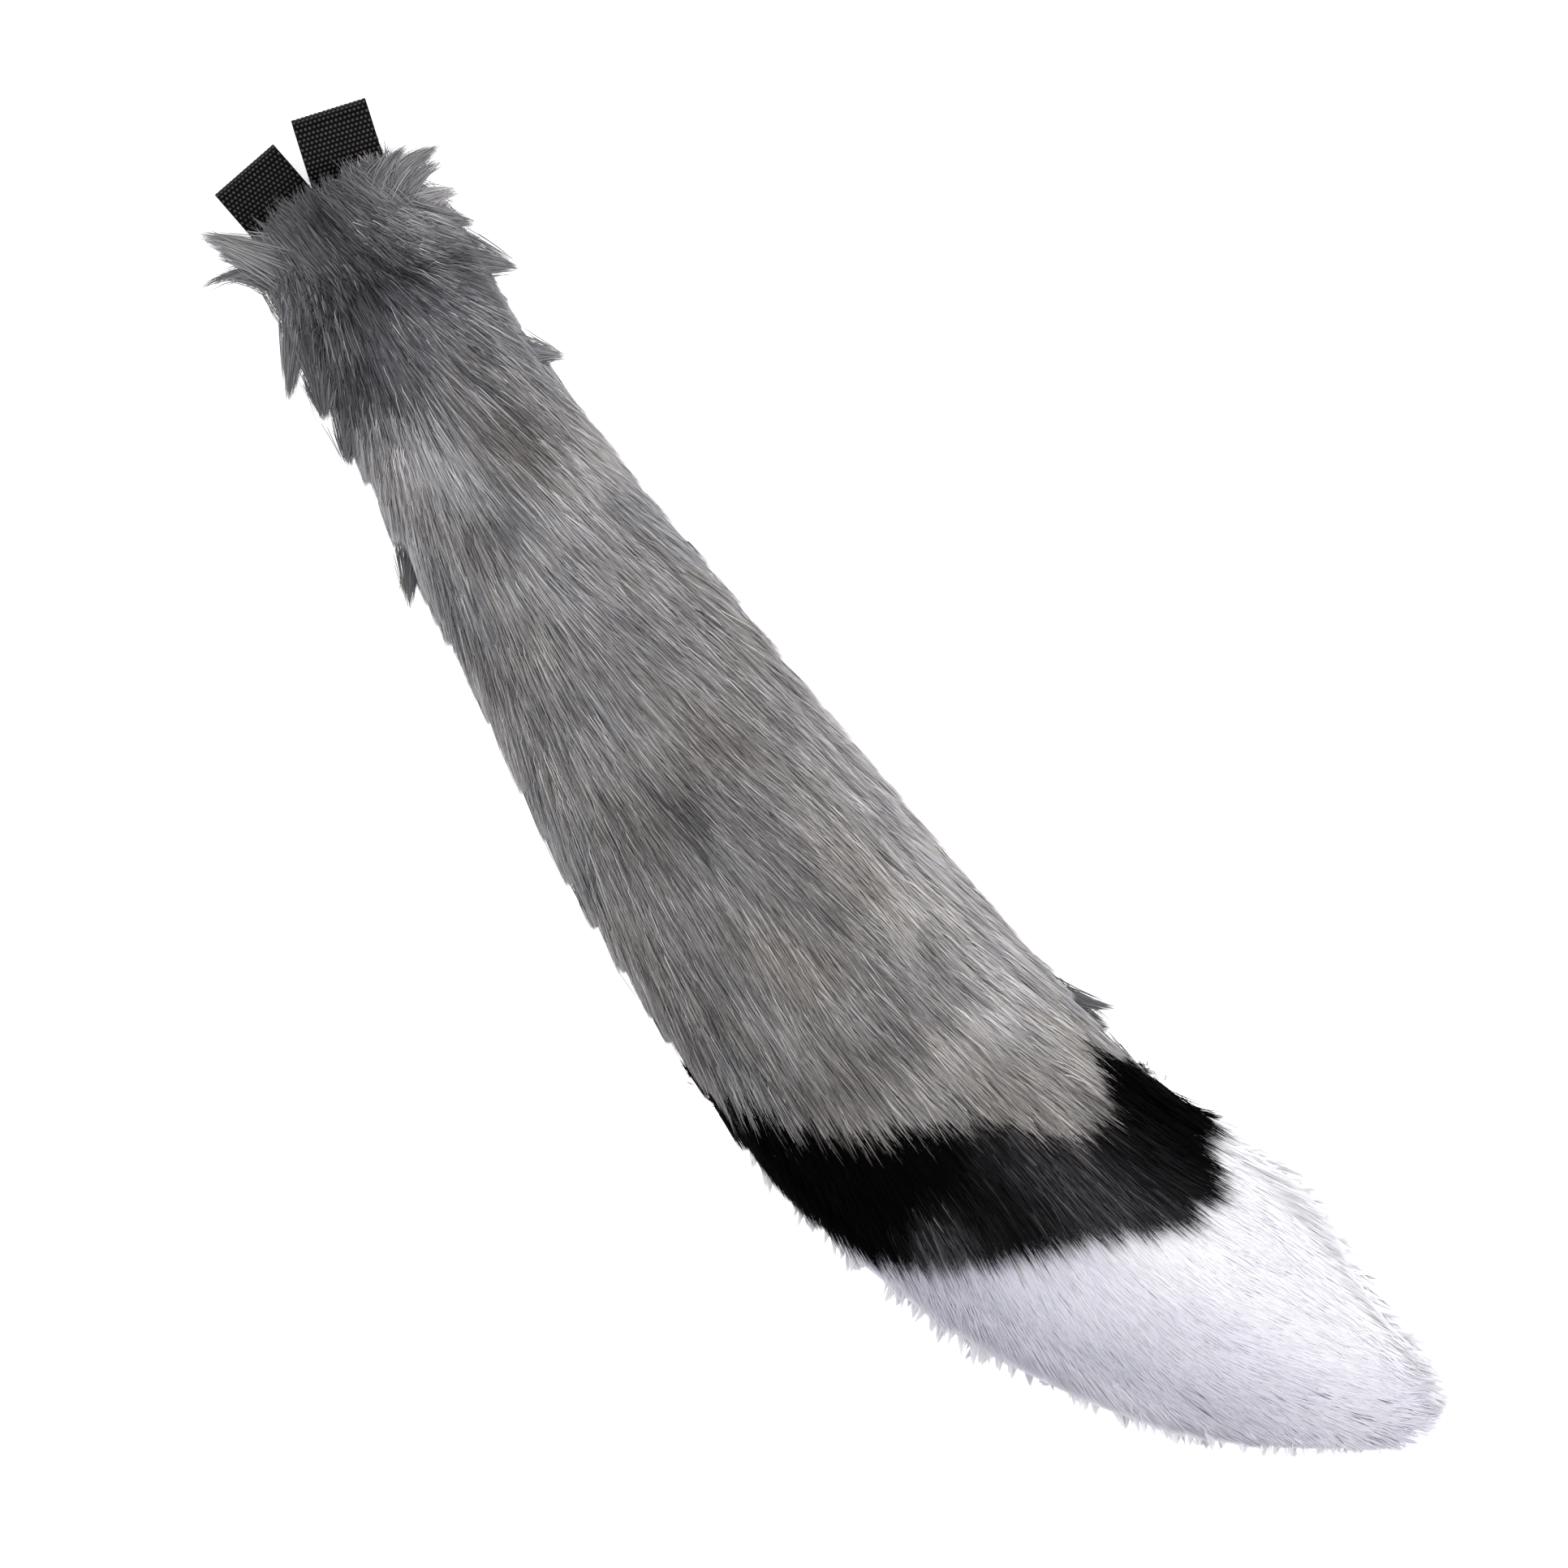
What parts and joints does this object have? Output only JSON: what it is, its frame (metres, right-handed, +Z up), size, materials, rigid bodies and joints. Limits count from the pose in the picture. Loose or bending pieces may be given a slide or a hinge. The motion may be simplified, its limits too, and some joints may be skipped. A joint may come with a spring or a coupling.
{
  "type": "costume animal tail",
  "caption": "Stuffed long-pile faux fur costume tail, grey with a black band and a white tip, bowed to one side, with folded webbing belt loops at its upper end.",
  "frame": {"origin": "on the surface that the tail lies on, below the middle of its bounding box", "axes": "+Y along the tail from the tip to the belt loops, +Z up from the surface, +X to the right, so that the tail's belly bows toward -X"},
  "size_m": [0.1464, 0.572, 0.0728],
  "materials": {
    "fur_grey": "long matte pile, mottled mid grey",
    "fur_black": "long pile, soft grey sheen",
    "fur_white": "long pile, cool white",
    "webbing_black": "woven nylon, semi matte"
  },
  "bodies": {
    "root": {"fur_body_grey": "fur_grey", "fur_band_black": "fur_black", "fur_tip_white": "fur_white", "belt_loop_left": "webbing_black", "belt_loop_right": "webbing_black"}
  },
  "joints": []
}
